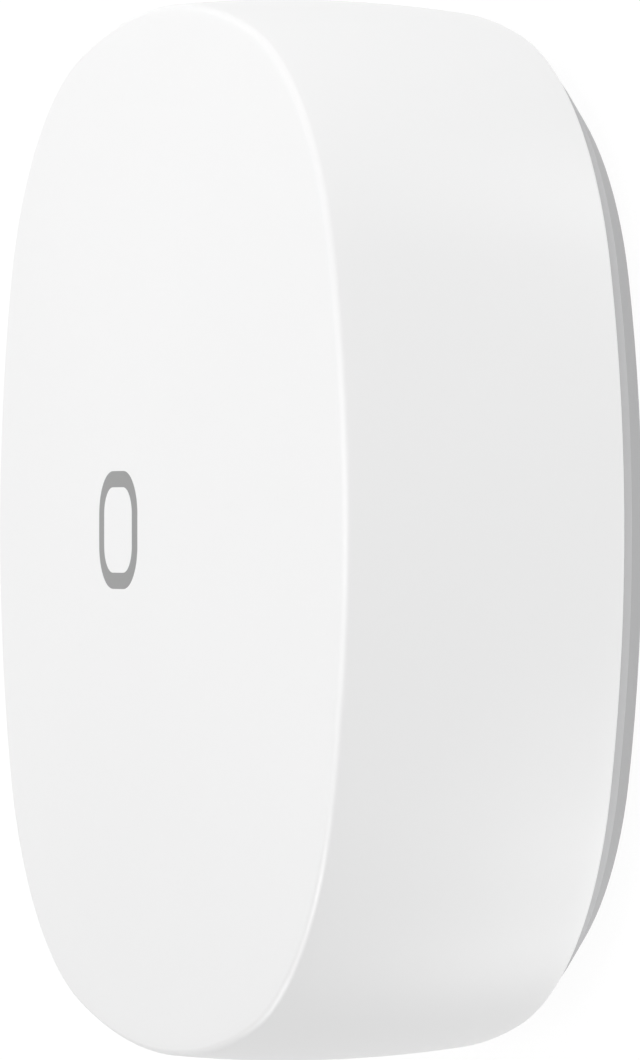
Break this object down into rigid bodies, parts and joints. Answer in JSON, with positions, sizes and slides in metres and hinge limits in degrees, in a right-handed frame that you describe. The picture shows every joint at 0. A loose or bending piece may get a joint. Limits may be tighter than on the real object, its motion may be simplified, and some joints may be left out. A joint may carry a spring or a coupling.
{
  "type": "smart button",
  "caption": "Wireless smart button: a white rounded-square cap that is pressed as a whole against a grey base with a coin cell, radio board and bayonet battery door.",
  "frame": {"origin": "middle of the flat back face", "axes": "+Z out of the pressed face, away from the back; +Y is up in the picture; +X is towards the side wall that the picture shows"},
  "size_m": [0.04, 0.04, 0.014],
  "materials": {
    "cap_white": "moulded white PC/ABS, fine satin",
    "mark_grey": "second-shot grey, level with the face",
    "light_guide": "clear polycarbonate",
    "base_grey": "moulded grey PC/ABS, fine spark-eroded texture",
    "magnet": "nickel-plated magnet",
    "cell_steel": "nickel-plated steel",
    "cell_lid": null,
    "cell_gasket": "polypropylene",
    "contact_spring": "nickel-plated spring bronze",
    "board_green": "glass-epoxy board with green solder mask",
    "screw_steel": "zinc-plated steel",
    "shield_tin": "tinned sheet steel",
    "chip_black": "moulded epoxy",
    "crystal_can": "gold-tinted lid",
    "chip_ceramic": "fired ceramic",
    "antenna_ceramic": "fired ceramic",
    "lamp_resin": "phosphor-filled clear resin",
    "switch_black": "glass-filled nylon",
    "switch_steel": "stainless sheet",
    "stem_white": "acetal",
    "lead_tin": "tinned brass"
  },
  "bodies": {
    "base": {"base_shell": "base_grey", "cell_can": "cell_steel", "cell_gasket": "cell_gasket", "cell_lid": "cell_lid", "side_contact": "contact_spring", "top_contact": "contact_spring", "main_board": "board_green", "board_screws": "screw_steel", "shield_can": "shield_tin", "radio_chip": "chip_black", "crystal": "crystal_can", "chip_antenna": "antenna_ceramic", "status_lamp": "lamp_resin", "chip_capacitors": "chip_ceramic", "chip_resistors": "chip_black", "switch_housing": "switch_black", "switch_cover": "switch_steel", "switch_dome": "switch_steel", "switch_leads": "lead_tin", "reset_switch_body": "switch_black"},
    "cap": {"button_cap": "cap_white", "mark_ring": "mark_grey", "light_guide": "light_guide"},
    "plunger": {"switch_stem": "stem_white"},
    "door": {"battery_door": "base_grey", "mount_magnets": "magnet"},
    "reset": {"reset_button": "base_grey"},
    "reset_plunger": {"reset_switch_stem": "stem_white"}
  },
  "joints": [
    {"name": "cap_press", "type": "slide", "parent": "base", "child": "cap", "axis": [0, 0, -1], "range_m": [0, 0.0003], "stiffness_N_per_m": 4000, "springref_m": -0.0001},
    {"name": "switch_press", "type": "slide", "parent": "base", "child": "plunger", "axis": [0, 0, -1], "range_m": [0, 0.0003], "deforming": ["switch_dome"]},
    {"name": "door_turn", "type": "hinge", "parent": "base", "child": "door", "pos_m": [0, 0, 0], "axis": [0, 0, -1], "range_deg": [0, 30]},
    {"name": "reset_press", "type": "slide", "parent": "base", "child": "reset", "axis": [0, 0, 1], "range_m": [0, 0.00025], "stiffness_N_per_m": 5000},
    {"name": "reset_switch_press", "type": "slide", "parent": "base", "child": "reset_plunger", "axis": [0, 0, 1], "range_m": [0, 0.00025]}
  ],
  "couplings": [
    {"joint": "switch_press", "follows": "cap_press", "ratio": 1},
    {"joint": "reset_switch_press", "follows": "reset_press", "ratio": 1}
  ]
}
